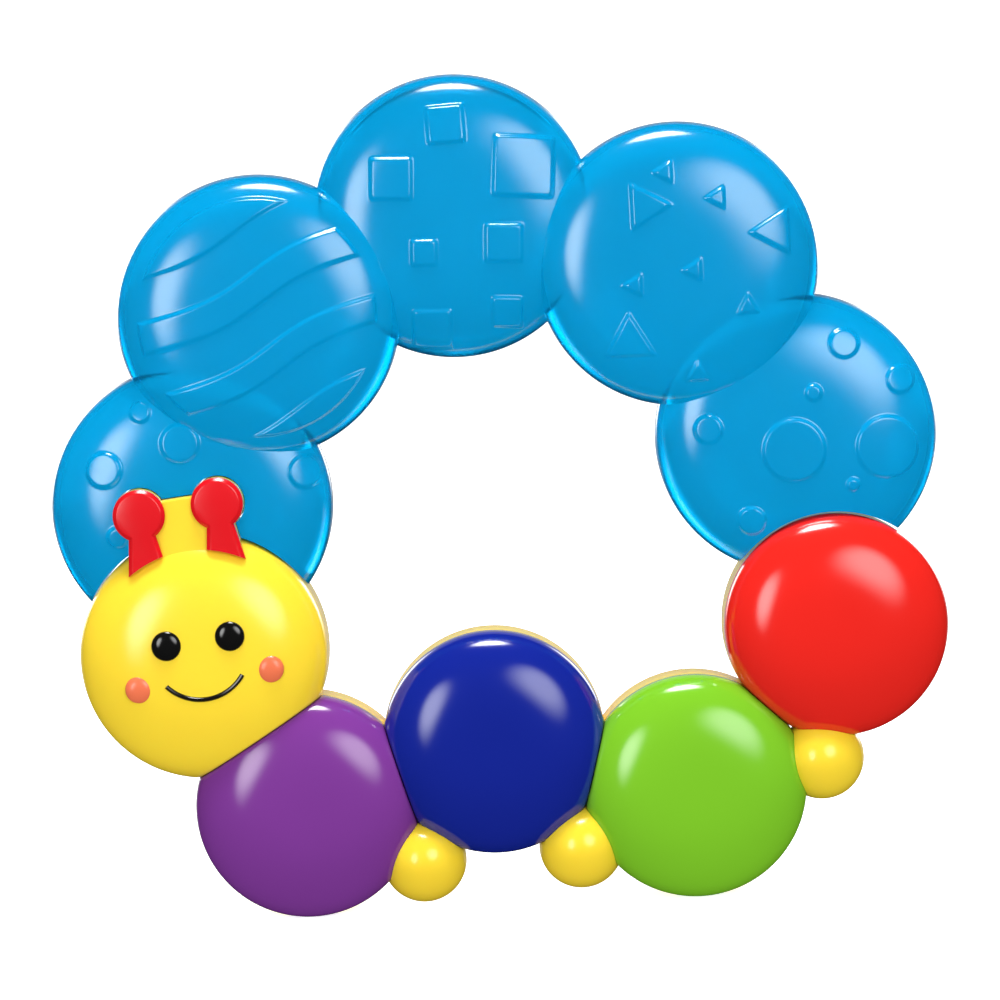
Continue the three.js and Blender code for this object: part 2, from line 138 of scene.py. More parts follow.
class ToyColours(bpy.types.PropertyGroup):
    yellow: colour("Yellow", "Casing, head and feet", (1.0, 0.70, 0.035))
    purple: colour("Purple", "First cap", (0.19, 0.038, 0.28))
    navy: colour("Navy", "Second cap", (0.006, 0.017, 0.27))
    green: colour("Green", "Third cap", (0.19, 0.52, 0.02))
    red: colour("Red", "Fourth cap", (0.78, 0.018, 0.012))
    antenna: colour("Antenna red", "Antennae", (0.70, 0.004, 0.010))
    black: colour("Black", "Eyes and smile", (0.006, 0.006, 0.006))
    coral: colour("Coral", "Cheeks", (0.83, 0.17, 0.07))
    blue: colour("Teether blue", "Soft skin of the teether", (0.0, 0.31, 0.62))
    water: colour("Water", "Water in the teether", (0.9, 0.97, 0.99))
    bead: colour("Bead", "Rattle beads", (0.9, 0.88, 0.82))
    steel: colour("Steel", "Screws", (0.5, 0.51, 0.53))
    studio: colour("Studio", "Floor and backdrop", (0.9, 0.9, 0.9))


def sizes():
    return bpy.context.scene.toy_sizes


def colours():
    return bpy.context.scene.toy_colours


# ---------- finishes ----------
def new_material(name):
    material = bpy.data.materials.new(name)
    material.use_nodes = True
    shader = material.node_tree.nodes["Principled BSDF"]
    return material, shader


def mottle(material, shader, rgb, amount, scale):
    """Moulded colour that drifts a little over the piece, so that it isn't perfectly flat."""
    tree = material.node_tree
    place = tree.nodes.new("ShaderNodeTexCoord")
    noise = tree.nodes.new("ShaderNodeTexNoise")
    noise.inputs["Scale"].default_value = scale
    noise.inputs["Detail"].default_value = 2
    ramp = tree.nodes.new("ShaderNodeValToRGB")
    for stop, factor in zip(ramp.color_ramp.elements, (1 - amount, 1 + amount)):
        stop.color = (*(min(1.0, c * factor) for c in rgb), 1)
    ramp.color_ramp.elements[0].position = 0.3
    ramp.color_ramp.elements[1].position = 0.7
    tree.links.new(place.outputs["Object"], noise.inputs["Vector"])
    tree.links.new(noise.outputs["Fac"], ramp.inputs["Fac"])
    tree.links.new(ramp.outputs["Color"], shader.inputs["Base Color"])
    return place


def moulding_waves(material, shader, place, scale, strength, distance):
    """The faint waviness of a moulded surface, which softens its reflections."""
    tree = material.node_tree
    noise = tree.nodes.new("ShaderNodeTexNoise")
    noise.inputs["Scale"].default_value = scale
    bump = tree.nodes.new("ShaderNodeBump")
    bump.inputs["Strength"].default_value = strength
    bump.inputs["Distance"].default_value = distance
    tree.links.new(place.outputs["Object"], noise.inputs["Vector"])
    tree.links.new(noise.outputs["Fac"], bump.inputs["Height"])
    tree.links.new(bump.outputs["Normal"], shader.inputs["Normal"])


def gloss_plastic(name, rgb, roughness=0.13, coat=0.2, glow=0.0):
    """A glossy moulded plastic. glow is how much light it scatters under its surface."""
    material, shader = new_material(name)
    shader.inputs["Roughness"].default_value = roughness
    shader.inputs["IOR"].default_value = 1.5
    shader.inputs["Coat Weight"].default_value = coat
    shader.inputs["Coat Roughness"].default_value = 0.04
    shader.inputs["Subsurface Weight"].default_value = glow
    shader.inputs["Subsurface Radius"].default_value = (1.0, 0.6, 0.2)
    shader.inputs["Subsurface Scale"].default_value = 1.5 * MM
    place = mottle(material, shader, rgb, 0.03, 40)
    moulding_waves(material, shader, place, 260, 0.12, 0.02 * MM)
    return material


def soft_skin(name, rgb):
    """The teether's translucent skin, under a glossy surface."""
    material, shader = new_material(name)
    shader.inputs["Roughness"].default_value = 0.18
    shader.inputs["IOR"].default_value = 1.25
    shader.inputs["Transmission Weight"].default_value = 0.62
    shader.inputs["Coat Weight"].default_value = 1.0
    shader.inputs["Coat Roughness"].default_value = 0.1
    place = mottle(material, shader, rgb, 0.04, 30)
    moulding_waves(material, shader, place, 180, 0.1, 0.03 * MM)
    return material


# How much of a wall between skin and water shows.
WETTED_ALPHA = 0.06


def clear_inside(name, rgb, ior=1.0, alpha=1.0):
    """A clear finish. An IOR of 1 suits a wall that water wets, since that bends hardly any light."""
    material, shader = new_material(name)
    shader.inputs["Alpha"].default_value = alpha
    shader.inputs["Roughness"].default_value = 0.0
    shader.inputs["IOR"].default_value = ior
    shader.inputs["Transmission Weight"].default_value = 1.0
    mottle(material, shader, rgb, 0.01, 60)
    return material


def plain_steel(name, rgb):
    material, shader = new_material(name)
    shader.inputs["Metallic"].default_value = 1.0
    shader.inputs["Roughness"].default_value = 0.32
    place = mottle(material, shader, rgb, 0.1, 900)
    moulding_waves(material, shader, place, 2500, 0.2, 0.01 * MM)
    return material


def finish_for(slot):
    """The finish of a record slot, made the first time that it is asked for."""
    # The imported parts bring plain materials named after the slots, so these have names of their own.
    name = f"{slot}_finish"
    made = bpy.data.materials.get(name)
    if made:
        return made
    c = colours()
    makers = {
        "yellow_plastic": lambda: gloss_plastic(name, c.yellow, 0.2, 0.2, 0.15),
        "purple_plastic": lambda: gloss_plastic(name, c.purple),
        "navy_plastic": lambda: gloss_plastic(name, c.navy),
        "green_plastic": lambda: gloss_plastic(name, c.green),
        "red_plastic": lambda: gloss_plastic(name, c.red),
        "antenna_red": lambda: gloss_plastic(name, c.antenna, 0.22),
        "black_plastic": lambda: gloss_plastic(name, c.black, 0.1),
        "coral_plastic": lambda: gloss_plastic(name, c.coral, 0.25, 0.1),
        "teether_blue": lambda: soft_skin(name, c.blue),
        "water": lambda: clear_inside(name, c.water, alpha=WETTED_ALPHA),
        "bead_plastic": lambda: gloss_plastic(name, c.bead, 0.4, 0),
        "screw_steel": lambda: plain_steel(name, c.steel),
    }
    return makers[slot]()


# ---------- making solids ----------
def at_depth(place, depth):
    """The point over a place (x, z) at a depth."""
    return Vector((place.x, PARTING_Y - depth, place.y))


def tidied(bm):
    bmesh.ops.remove_doubles(bm, verts=bm.verts, dist=1e-7)
    bmesh.ops.recalc_face_normals(bm, faces=bm.faces)
    return bm


def spun(profile, centre, steps):
    """A solid turned from (radius, depth) points that start and end on the axis."""
    bm = bmesh.new()
    ring = [bm.verts.new(at_depth(centre + Vector((r, 0)), depth)) for r, depth in profile]
    for a, b in zip(ring, ring[1:]):
        bm.edges.new((a, b))
    bmesh.ops.spin(
        bm,
        geom=bm.verts[:] + bm.edges[:],
        cent=at_depth(centre, 0),
        axis=(0, 1, 0),
        angle=TAU,
        steps=steps,
        use_merge=True,
    )
    return tidied(bm)


def arc(centre, radius, start, end, steps):
    """Points on an arc in degrees, both ends included."""
    angles = (math.radians(start + (end - start) * i / steps) for i in range(steps + 1))
    return [Vector((centre[0] + radius * math.cos(a), centre[1] + radius * math.sin(a))) for a in angles]


def dome(radius, wall, rise, squareness, rings=36):
    """(radius, depth) points of a superellipse dome from its crown to the top of its wall."""
    points = []
    for i in range(rings + 1):
        t = i / rings * math.pi / 2
        points.append((radius * math.sin(t) ** (2 / squareness), wall + rise * math.cos(t)))
    points[0] = (0, wall + rise)
    return points


def rounded_bar(radius, low, high, edge, steps=4):
    """Profile of a round bar between two depths with its front edge rounded."""
    rim = arc((radius - edge, high - edge), edge, 90, 0, steps) if edge else [(radius, high)]
    return [(0, high), *[tuple(p) for p in rim], (radius, low), (0, low)]


def leaning(centre, tilt):
    """Turns (x, z) in a piece's own leaning frame into the toy's."""
    turn = Matrix.Rotation(tilt, 2)
    return lambda point: centre + turn @ Vector(point)


def prism(outline, low, high, bevel=0.0, segments=3):
    """An outline of (x, z) points with thickness from depth low to high, its front edge rounded."""
    bm = bmesh.new()
    face = bm.faces.new([bm.verts.new(at_depth(Vector(p), low)) for p in outline])
    made = bmesh.ops.extrude_face_region(bm, geom=[face])["geom"]
    front = [v for v in made if isinstance(v, bmesh.types.BMVert)]
    bmesh.ops.translate(bm, verts=front, vec=(0, low - high, 0))
    tidied(bm)
    if bevel:
        soften_rim(bm, high, bevel, segments)
    return bm


def soften_rim(bm, high, bevel, segments=2):
    """Bevels the edges round a flat front at depth high."""
    top = PARTING_Y - high
    rim = [
        e
        for e in bm.edges
        if all(abs(v.co.y - top) < 1e-6 for v in e.verts) and e.calc_face_angle(0) > 0.1
    ]
    bmesh.ops.bevel(
        bm,
        geom=rim,
        offset=bevel,
        offset_type="OFFSET",
        affect="EDGES",
        segments=segments,
        profile=0.5,
        material=-1,
        clamp_overlap=True,
    )


def object_from(bm, name):
    mesh = bpy.data.meshes.new(name)
    bm.to_mesh(mesh)
    bm.free()
    made = bpy.data.objects.new(name, mesh)
    bpy.context.collection.objects.link(made)
    return made


def combined(base, tools, operation):
    """base with each tool joined to it, cut from it or kept in common; the tools are used up."""
    for tool in tools:
        step = base.modifiers.new(operation, "BOOLEAN")
        step.operation = operation
        step.solver = "MANIFOLD"
        step.object = tool
    shapes = bpy.context.evaluated_depsgraph_get()
    mesh = bpy.data.meshes.new_from_object(base.evaluated_get(shapes))
    base.modifiers.clear()
    old = base.data
    base.data = mesh
    bpy.data.meshes.remove(old)
    for tool in tools:
        data = tool.data
        bpy.data.objects.remove(tool)
        bpy.data.meshes.remove(data)
    if not base.data.polygons:
        raise RuntimeError(f"{base.name} came out empty after {operation}")
    return base


def finished(made, slot, nodes, body=BODY, crease=30):
    """Smooths a piece up to its creases, gives it its finish and puts it in the frame."""
    for face in made.data.polygons:
        face.use_smooth = True
    made.data.set_sharp_from_angle(angle=math.radians(crease))
    made.data.materials.clear()
    made.data.materials.append(finish_for(slot))
    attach(made, body)
    if nodes:
        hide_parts(*nodes)
    return made


# ---------- where segments meet ----------
def radius_of(name):
    return sizes().head_radius if name == "head" else sizes().cap_radius


def meeting_plane(name, other, clear):
    """The plane where a segment stops at a neighbour: a point on it and its outward normal."""
    here, there = SEGMENT_AT[name], SEGMENT_AT[other]
    across = there - here
    apart = across.length
    across.normalize()
    reach = (apart**2 + radius_of(name) ** 2 - radius_of(other) ** 2) / (2 * apart) - clear
    point = here + across * reach
    return Vector((point.x, 0, point.y)), Vector((across.x, 0, across.y))


def trimmed(bm, point, normal, soften=0.0):
    """Cuts a solid off at a plane, closes it, and rolls its front over towards the cut."""
    for share in (1, 0.7, 0.45, 0.25, 0.1) if soften else ():
        everything = bm.verts[:] + bm.edges[:] + bm.faces[:]
        at = point - normal * soften * share
        bmesh.ops.bisect_plane(bm, geom=everything, dist=1e-8, plane_co=at, plane_no=normal)
    everything = bm.verts[:] + bm.edges[:] + bm.faces[:]
    cut = bmesh.ops.bisect_plane(
        bm, geom=everything, dist=1e-8, plane_co=point, plane_no=normal, clear_outer=True
    )["geom_cut"]
    for vert in bm.verts if soften else ():
        inside = (point - vert.co).dot(normal)
        depth = PARTING_Y - vert.co.y
        if inside < soften and depth > sizes().wall_height:
            vert.co.y += soften - math.sqrt(max(0, soften**2 - (soften - inside) ** 2))
    edges = [e for e in cut if isinstance(e, bmesh.types.BMEdge) and e.is_valid and e.is_boundary]
    bmesh.ops.holes_fill(bm, edges=edges, sides=0)
    bmesh.ops.recalc_face_normals(bm, faces=bm.faces)
    return bm


SEAM_ROLL = 0.45 * MM
CAP_SQUARENESS = 3
DOME_STEPS = 192


def segment_dome(name, grow=0.0, trims=True, soften=SEAM_ROLL):
    """The solid under a cap or the head, grown or shrunk all round."""
    s = sizes()
    rise = s.head_rise if name == "head" else s.cap_rise
    radius = radius_of(name) + grow
    lip = s.seam if grow <= 0 else -s.seam
    edge = 0.2 * MM
    profile = dome(radius, s.wall_height, rise + grow, CAP_SQUARENESS)
    profile += [tuple(p) for p in arc((radius - edge, lip + edge), edge, 0, -90, 3)]
    profile.append((0, lip))
    bm = spun(profile, SEGMENT_AT[name], DOME_STEPS)
    if trims:
        neighbours = ("purple",) if name == "head" else CAP_NEIGHBOURS[name]
        clear = s.seam if grow >= 0 else s.shell
        for other in neighbours:
            point, normal = meeting_plane(name, other, clear)
            trimmed(bm, point, normal, soften if grow >= 0 else 0)
    return bm


class TOY_OT_caps(bpy.types.Operator):
    """Build the four coloured caps"""

    bl_idname = "toy.caps"
    bl_label = "Caps"

    def execute(self, context):
        for name in CAP_NEIGHBOURS:
            cap = object_from(segment_dome(name), f"{name}_cap")
            room = object_from(segment_dome(name, -sizes().shell), f"{name}_room")
            combined(cap, [room], "DIFFERENCE")
            finished(cap, f"{name}_plastic", [f"cap_{name}"])
        return {"FINISHED"}


class TOY_OT_feet(bpy.types.Operator):
    """Build the fronts of the three ball feet"""

    bl_idname = "toy.feet"
    bl_label = "Feet"

    def execute(self, context):
        s = sizes()
        for name, place in FOOT_AT.items():
            profile = dome(s.foot_radius, s.seam, s.foot_radius - s.seam, 2)
            foot = object_from(spun([*profile, (0, s.seam)], place, 96), f"{name}_foot")
            near = [n for n in CAP_NEIGHBOURS if (SEGMENT_AT[n] - place).length < 30 * MM]
            cuts = [object_from(segment_dome(n, s.seam, trims=False), f"{n}_cut") for n in near]
            combined(foot, cuts, "DIFFERENCE")
            finished(foot, "yellow_plastic", [f"foot_cap_{name}"])
        return {"FINISHED"}


# ---------- the head ----------
KNOB = {"x": 6.65 * MM, "z": 25.4 * MM, "radius": 4.4 * MM}
STEM = {"neck": 2.3 * MM, "foot_z": 14.5 * MM, "foot": 3.5 * MM}
FOREHEAD = {"low": 12 * MM, "top": 27.3 * MM, "front": 6.8 * MM, "half": 6.65 * MM}
ANTENNA = {"back": 6.4 * MM, "front": 8.0 * MM, "end": 18.4 * MM, "chamfer": 0.6 * MM, "rim": 0.16 * MM}
EYE = {"radius": 2.5, "low": 8, "shoulder": 10.1, "apex": 10.9, "x": 5.4, "z": 3.2}
CHEEK = {"radius": 2.3, "low": 7, "shoulder": 9.2, "apex": 10.1, "x": 11.2, "z": -3.4}
SMILE = {"z": 1.5 * MM, "radius": 8.2 * MM, "half": 52, "width": 0.42 * MM}


def in_head(point):
    return leaning(SEGMENT_AT["head"], sizes().head_tilt)(point)


def keyhole(side, grow=0.0):
    """An antenna's outline in the toy's frame: a round knob on a stem that flares downwards."""
    x, z, radius = side * KNOB["x"], KNOB["z"], KNOB["radius"] + grow
    neck = STEM["neck"] + grow
    foot = STEM["foot"] + grow
    join = math.degrees(math.asin(neck / radius))
    knob = arc((x, z), radius, -90 + join, 270 - join, 48)
    stem = [(x - foot, STEM["foot_z"]), (x + foot, STEM["foot_z"])]
    return [in_head(p) for p in [*knob, *stem]]


def forehead(low, high, grow=0.0, bevel=0.0):
    """The yellow plate under the antennae, as separate overlapping solids."""
    half = FOREHEAD["half"]
    top = FOREHEAD["top"] + grow
    between = [(-half, FOREHEAD["low"]), (half, FOREHEAD["low"]), (half, top), (-half, top)]
    outlines = [keyhole(-1, grow), keyhole(1, grow), [in_head(p) for p in between]]
    return [object_from(prism(o, low, high, bevel), "forehead_part") for o in outlines]


def head_depth(point):
    """Depth of the head's dome over a point in its own leaning frame."""
    s = sizes()
    share = min(1.0, Vector(point).length / s.head_radius)
    return s.wall_height + s.head_rise * math.sqrt(1 - share**CAP_SQUARENESS)


def smile_tube(width, sink, name):
    """A round bead along the smile, sunk below the head's surface."""
    line = bpy.data.curves.new(name, "CURVE")
    line.dimensions = "3D"
    line.bevel_depth = width
    line.bevel_resolution = 4
    line.use_fill_caps = True
    path = arc((0, SMILE["z"]), SMILE["radius"], -90 - SMILE["half"], -90 + SMILE["half"], 40)
    spline = line.splines.new("POLY")
    spline.points.add(len(path) - 1)
    for spot, point in zip(spline.points, path):
        spot.co = (*at_depth(in_head(point), head_depth(point) - sink), 1)
    made = bpy.data.objects.new(name, line)
    bpy.context.collection.objects.link(made)
    shapes = bpy.context.evaluated_depsgraph_get()
    mesh = bpy.data.meshes.new_from_object(made.evaluated_get(shapes))
    bpy.data.objects.remove(made)
    bpy.data.curves.remove(line)
    bm = bmesh.new()
    bm.from_mesh(mesh)
    bpy.data.meshes.remove(mesh)
    return object_from(tidied(bm), name)


class TOY_OT_head(bpy.types.Operator):
    """Build the head's front with its forehead plate and smile"""

    bl_idname = "toy.head"
    bl_label = "Head"

    def execute(self, context):
        s = sizes()
        head = object_from(segment_dome("head"), "head_front")
        combined(head, forehead(s.seam, FOREHEAD["front"], bevel=0.4 * MM), "UNION")
        room = object_from(segment_dome("head", -s.shell), "head_room")
        groove = smile_tube(SMILE["width"], 0.05 * MM, "smile_groove")
        combined(head, [room, groove], "DIFFERENCE")
        finished(head, "yellow_plastic", ["head_face"])
        inlay = smile_tube(SMILE["width"] * 0.98, 0.22 * MM, "smile_inlay")
        finished(inlay, "black_plastic", [])
        return {"FINISHED"}


class TOY_OT_antennae(bpy.types.Operator):
    """Build the two antennae"""

    bl_idname = "toy.antennae"
    bl_label = "Antennae"

    def execute(self, context):
        for side, name in ((-1, "left"), (1, "right")):
            body = prism(keyhole(side), ANTENNA["back"], ANTENNA["front"], ANTENNA["chamfer"], 1)
            soften_rim(body, ANTENNA["front"], ANTENNA["rim"])
            antenna = object_from(body, f"{name}_antenna")
            end = rounded_bar(ANTENNA["end"], -5 * MM, 15 * MM, 0)
            cut = object_from(spun(end, SEGMENT_AT["head"], DOME_STEPS), "antenna_end")
            combined(antenna, [cut], "DIFFERENCE")
            finished(antenna, "antenna_red", [f"antenna_{name}"])
        return {"FINISHED"}


class TOY_OT_face_buttons(bpy.types.Operator):
    """Build the round eyes and cheeks"""

    bl_idname = "toy.face_buttons"
    bl_label = "Eyes and cheeks"

    def execute(self, context):
        for kind, shape, slot in (("eye", EYE, "black_plastic"), ("cheek", CHEEK, "coral_plastic")):
            radius, low, shoulder = (shape[k] * MM for k in ("radius", "low", "shoulder"))
            crown = dome(radius, shoulder, (shape["apex"] - shape["shoulder"]) * MM, 2.4, 16)
            profile = [*crown, (radius, low), (0, low)]
            for side, name in ((-1, "left"), (1, "right")):
                place = in_head((side * shape["x"] * MM, shape["z"] * MM))
                button = object_from(spun(profile, place, 64), f"{name}_{kind}")
                finished(button, slot, [f"{kind}_{name}"])
        return {"FINISHED"}


# ---------- the casing ----------
BACK_EDGE = 2 * MM
SCREW_RECESS = {"radius": 3 * MM, "depth": 4.5 * MM}
BOSS = {"radius": 4.2 * MM, "top": -0.5 * MM}
SCREW_HEAD = {"radius": 2.5 * MM, "rise": 0.9 * MM, "gap": 0.3 * MM}
SHANK = {"radius": 1.15 * MM, "top": 4 * MM}
CROSS_SLOT = {"half_length": 1.5 * MM, "half_width": 0.25 * MM, "low": 2.2 * MM, "height": 1.3 * MM}
CROSS_TURNS = (20, 110)
# How far a cutting solid reaches past the face that it cuts.
PAST = 1 * MM


def pan(radius, low, high):
    """Profile of one round pan of the casing with its back edge rounded."""
    rim = arc((radius - BACK_EDGE, low + BACK_EDGE), BACK_EDGE, 0, -90, 10)
    return [(0, high), (radius, high), *[tuple(p) for p in rim], (0, low)]


class TOY_OT_casing(bpy.types.Operator):
    """Build the rear casing"""

    bl_idname = "toy.casing"
    bl_label = "Rear casing"

    def execute(self, context):
        s = sizes()
        pans = []
        rooms = []
        for name, place in SEGMENT_AT.items():
            radius = radius_of(name)
            pans.append(object_from(spun(pan(radius, BACK_DEPTH, 0), place, DOME_STEPS), name))
            floor = BACK_DEPTH + s.shell
            room = spun(rounded_bar(radius - s.shell, floor, PAST, 0), place, 96)
            boss = spun(rounded_bar(BOSS["radius"], BACK_DEPTH, BOSS["top"], 0), place, 48)
            room = object_from(room, "room")
            combined(room, [object_from(boss, "boss")], "DIFFERENCE")
            recess = (BACK_DEPTH - PAST, BACK_DEPTH + SCREW_RECESS["depth"])
            hole = spun(rounded_bar(SCREW_RECESS["radius"], *recess, 0), place, 48)
            rooms += [room, object_from(hole, "recess")]
        for place in FOOT_AT.values():
            ball = [(r, -depth) for r, depth in dome(s.foot_radius, 0, s.foot_radius, 2)]
            pans.append(object_from(spun([(0, 0), *ball[::-1]], place, 96), "foot_back"))
        casing = pans[0]
        casing.name = "casing"
        combined(casing, pans[1:] + forehead(BACK_DEPTH, 0), "UNION")
        combined(casing, rooms, "DIFFERENCE")
        finished(casing, "yellow_plastic", ["rear_casing"])
        return {"FINISHED"}


class TOY_OT_screws(bpy.types.Operator):
    """Build the five screws in the back"""

    bl_idname = "toy.screws"
    bl_label = "Screws"

    def execute(self, context):
        for name, place in SEGMENT_AT.items():
            top = BACK_DEPTH + SCREW_RECESS["depth"] - SCREW_HEAD["gap"]
            wide, rise = SCREW_HEAD["radius"], SCREW_HEAD["rise"]
            thin, end = SHANK["radius"], SHANK["top"]
            profile = [(r, top - depth) for r, depth in dome(wide, rise, rise, 2.4, 12)]
            profile += [(wide, top), (thin, top), (thin, end), (0, end)]
            screw = object_from(spun(profile, place, 64), f"{name}_screw")
            low = top - CROSS_SLOT["low"]
            x, z = CROSS_SLOT["half_length"], CROSS_SLOT["half_width"]
            slots = []
            for turn in CROSS_TURNS:
                across = leaning(place, math.radians(turn))
                corners = [across(c) for c in ((-x, -z), (x, -z), (x, z), (-x, z))]
                slots.append(object_from(prism(corners, low, low + CROSS_SLOT["height"]), "slot"))
            combined(screw, slots, "DIFFERENCE")
            finished(screw, "screw_steel", [f"screw_{name}"])
        return {"FINISHED"}


class TOY_OT_beads(bpy.types.Operator):
    """Build the loose rattle beads"""

    bl_idname = "toy.beads"
    bl_label = "Beads"

    def execute(self, context):
        for body, nodes in frame["record"]["behaviour"]["bodies"].items():
            if body == BODY:
                continue
            low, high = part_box(nodes[0])
            bm = bmesh.new()
            bmesh.ops.create_icosphere(bm, subdivisions=4, radius=(high.y - low.y) / 2)
            bmesh.ops.translate(bm, verts=bm.verts, vec=(low + high) / 2)
            bead = object_from(bm, f"{nodes[0]}_fine")
            finished(bead, "bead_plastic", nodes, body)
        return {"FINISHED"}


# ---------- the teether ----------
LOBE_WALL = 1 * MM
LOBE_SQUARENESS = 3.4
WALL_SQUARENESS = 14
CLEAR_OF_HEAD = 0.2 * MM
CLEAR_OF_RED = 0.4 * MM
SLOPE = 0.8 * MM  # width of the ramp round each pattern
CORNER = 0.22 * MM  # softness of the squares' and triangles' corners

# Raised patterns, in millimetres from each disc's centre.
# Circles are x, z and radius. Squares and triangles add a turn in degrees.
RAISED_CIRCLES = {
    0: ((-7.6, 16.5, 1.7), (-1.1, 10.9, 3.2), (-14.3, 7.0, 2.9), (19.8, 4.9, 2.7), (-12.5, -4.5, 1.7)),
    4: (
        (-0.8, -2.5, 5.2),
        (15.0, -2.8, 5.2),
        (8.5, 15.1, 2.4),
        (17.8, 8.5, 2.3),
        (2.9, 7.0, 1.3),
        (-15.1, 1.7, 2.3),
        (8.9, -8.9, 1.0),
        (-8.5, -14.2, 2.3),
    ),
}
RAISED_SQUARES = {
    2: (
        (-0.6, 15.5, 6.2, 2),
        (-10.2, 6.8, 6.9, -3),
        (12.2, 7.8, 10, -5),
        (-5.3, -5.9, 4.2, -2),
        (8.2, -4.9, 6.2, -3),
        (-4.6, -18.9, 6.4, -2),
        (8.2, -16.6, 5, -4),
    )
}
RAISED_TRIANGLES = {
    3: (
        (-1.5, 15.5, 2.1, 180),
        (-5.2, 10.0, 4.4, 0),
        (7.1, 10.8, 2.1, 180),
        (16.6, 4.7, 4.4, 180),
        (2.6, -1.1, 2.1, 180),
        (-7.5, -3.2, 2.1, 180),
        (11.3, -7.7, 2.1, 90),
        (-8.8, -12.6, 4.8, 90),
        (2.4, -18.6, 2.2, 90),
    )
}
# Wavy bands cross the second disc. Each band lies between two lines, and a line is the height
# and the place of its bend. The outermost bands have one line, and a round limit ends them all.
WAVE = {"slope": 0.2, "rise": 3.9 * MM, "run": 8 * MM, "end": 20 * MM, "lean": 0.88}
RAISED_WAVES = {
    1: (
        ((15, -3), None),
        ((2.3, 1), (7.6, -0.5)),
        ((-9.5, 4), (-5.2, 2)),
        (None, (-16.9, 6)),
    )
}


def circle_edge(x, z, radius):
    return lambda px, pz: math.hypot(px - x, pz - z) - radius


def polygon_edge(x, z, sides, inradius, turn):
    """A regular polygon with soft corners. turn is the direction in which one side faces."""
    facing = [turn + TAU * k / sides for k in range(sides)]
    normals = [(math.cos(a), math.sin(a)) for a in facing]

    def distance(px, pz):
        reach = [(px - x) * nx + (pz - z) * nz - inradius for nx, nz in normals]
        most = max(reach)
        return most + CORNER * math.log(sum(math.exp((r - most) / CORNER) for r in reach))

    return distance


def wave_edge(low, high):
    """The band between two wavy lines."""

    def line(px, level, bend):
        return level * MM + WAVE["slope"] * px + WAVE["rise"] * math.tanh((px - bend * MM) / WAVE["run"])

    def distance(px, pz):
        reach = [math.hypot(px, pz) - WAVE["end"]]
        if low:
            reach.append((line(px, *low) - pz) * WAVE["lean"])
        if high:
            reach.append((pz - line(px, *high)) * WAVE["lean"])
        return max(reach)

    return distance


def pattern_edges(index):
    """For each pattern on a disc, how far a point is outside its edge; it is negative inside."""
    edges = [circle_edge(x * MM, z * MM, r * MM) for x, z, r in RAISED_CIRCLES.get(index, ())]
    for x, z, side, turn in RAISED_SQUARES.get(index, ()):
        edges.append(polygon_edge(x * MM, z * MM, 4, side / 2 * MM, math.radians(turn)))
    for x, z, radius, turn in RAISED_TRIANGLES.get(index, ()):
        edges.append(polygon_edge(x * MM, z * MM, 3, radius / 2 * MM, math.radians(turn + 60)))
    edges += [wave_edge(low, high) for low, high in RAISED_WAVES.get(index, ())]
    return edges


def lobe_middle(index):
    s = sizes()
    return s.lobe_middle + (s.lobe_stagger if LOBES[index][1] else -s.lobe_stagger)


def lobe_height(share, grow=0.0):
    """How far a disc's face stands from its middle plane, at a share of its radius."""
    share = min(1.0, share)
    wall = LOBE_WALL * math.sqrt(1 - share**WALL_SQUARENESS)
    return wall + (sizes().lobe_rise + grow) * math.sqrt(1 - share**LOBE_SQUARENESS)


def lobe_mesh(index, grow, fineness):
    """A ball pressed into a soft disc, domed on both sides."""
    centre = LOBES[index][0]
    radius = sizes().lobe_radius + grow
    bm = bmesh.new()
    bmesh.ops.create_icosphere(bm, subdivisions=fineness, radius=1)
    for vert in bm.verts:
        across = Vector((vert.co.x, vert.co.z))
        height = math.copysign(lobe_height(across.length, grow), -vert.co.y)
        vert.co = at_depth(centre + across * radius, lobe_middle(index) + height)
    return bm


def lobe_solid(index, grow=0.0, fineness=6):
    return object_from(lobe_mesh(index, grow, fineness), f"lobe_{index}")


def patterned_lobe(index, rounds=2):
    """A soft disc with its patterns raised on the front, its mesh refined along their slopes."""
    centre = LOBES[index][0]
    radius = sizes().lobe_radius
    middle = lobe_middle(index)
    edges = pattern_edges(index)
    bm = lobe_mesh(index, 0, 6)

    def front(vert):
        return PARTING_Y - vert.co.y > middle

    def outside(vert):
        """Distance outside the nearest pattern."""
        return min(edge(vert.co.x - centre.x, vert.co.z - centre.y) for edge in edges)

    for _ in range(rounds):
        reach = {v: outside(v) if front(v) else 1 for v in bm.verts}
        near = set()
        for face in bm.faces:
            size = max(e.calc_length() for e in face.edges)
            if min(abs(reach[v]) for v in face.verts) < SLOPE / 2 + size / 3:
                near.update(face.edges)
        bmesh.ops.subdivide_edges(bm, edges=list(near), cuts=1)
        bmesh.ops.triangulate(bm, faces=[f for f in bm.faces if len(f.verts) > 3])
    for vert in bm.verts:
        if front(vert):
            up = min(1.0, max(0.0, 0.5 - outside(vert) / SLOPE))
            share = math.hypot(vert.co.x - centre.x, vert.co.z - centre.y) / radius
            depth = middle + lobe_height(share) + sizes().relief * up * up * (3 - 2 * up)
            vert.co.y = PARTING_Y - depth
    return object_from(bm, f"patterned_{index}")


def end_cuts(grow=0.0):
    """What the head and the red segment take out of the teether's two ends."""
    reach = 15 * MM
    head = rounded_bar(radius_of("head") + CLEAR_OF_HEAD + grow, -reach, reach, 0)
    red = rounded_bar(radius_of("red") + CLEAR_OF_RED + grow, -reach, reach, 0)
    return [
        object_from(spun(head, SEGMENT_AT["head"], DOME_STEPS), "head_cut"),
        object_from(spun(red, SEGMENT_AT["red"], DOME_STEPS), "red_cut"),
        *forehead(-reach, reach, CLEAR_OF_HEAD + grow),
    ]


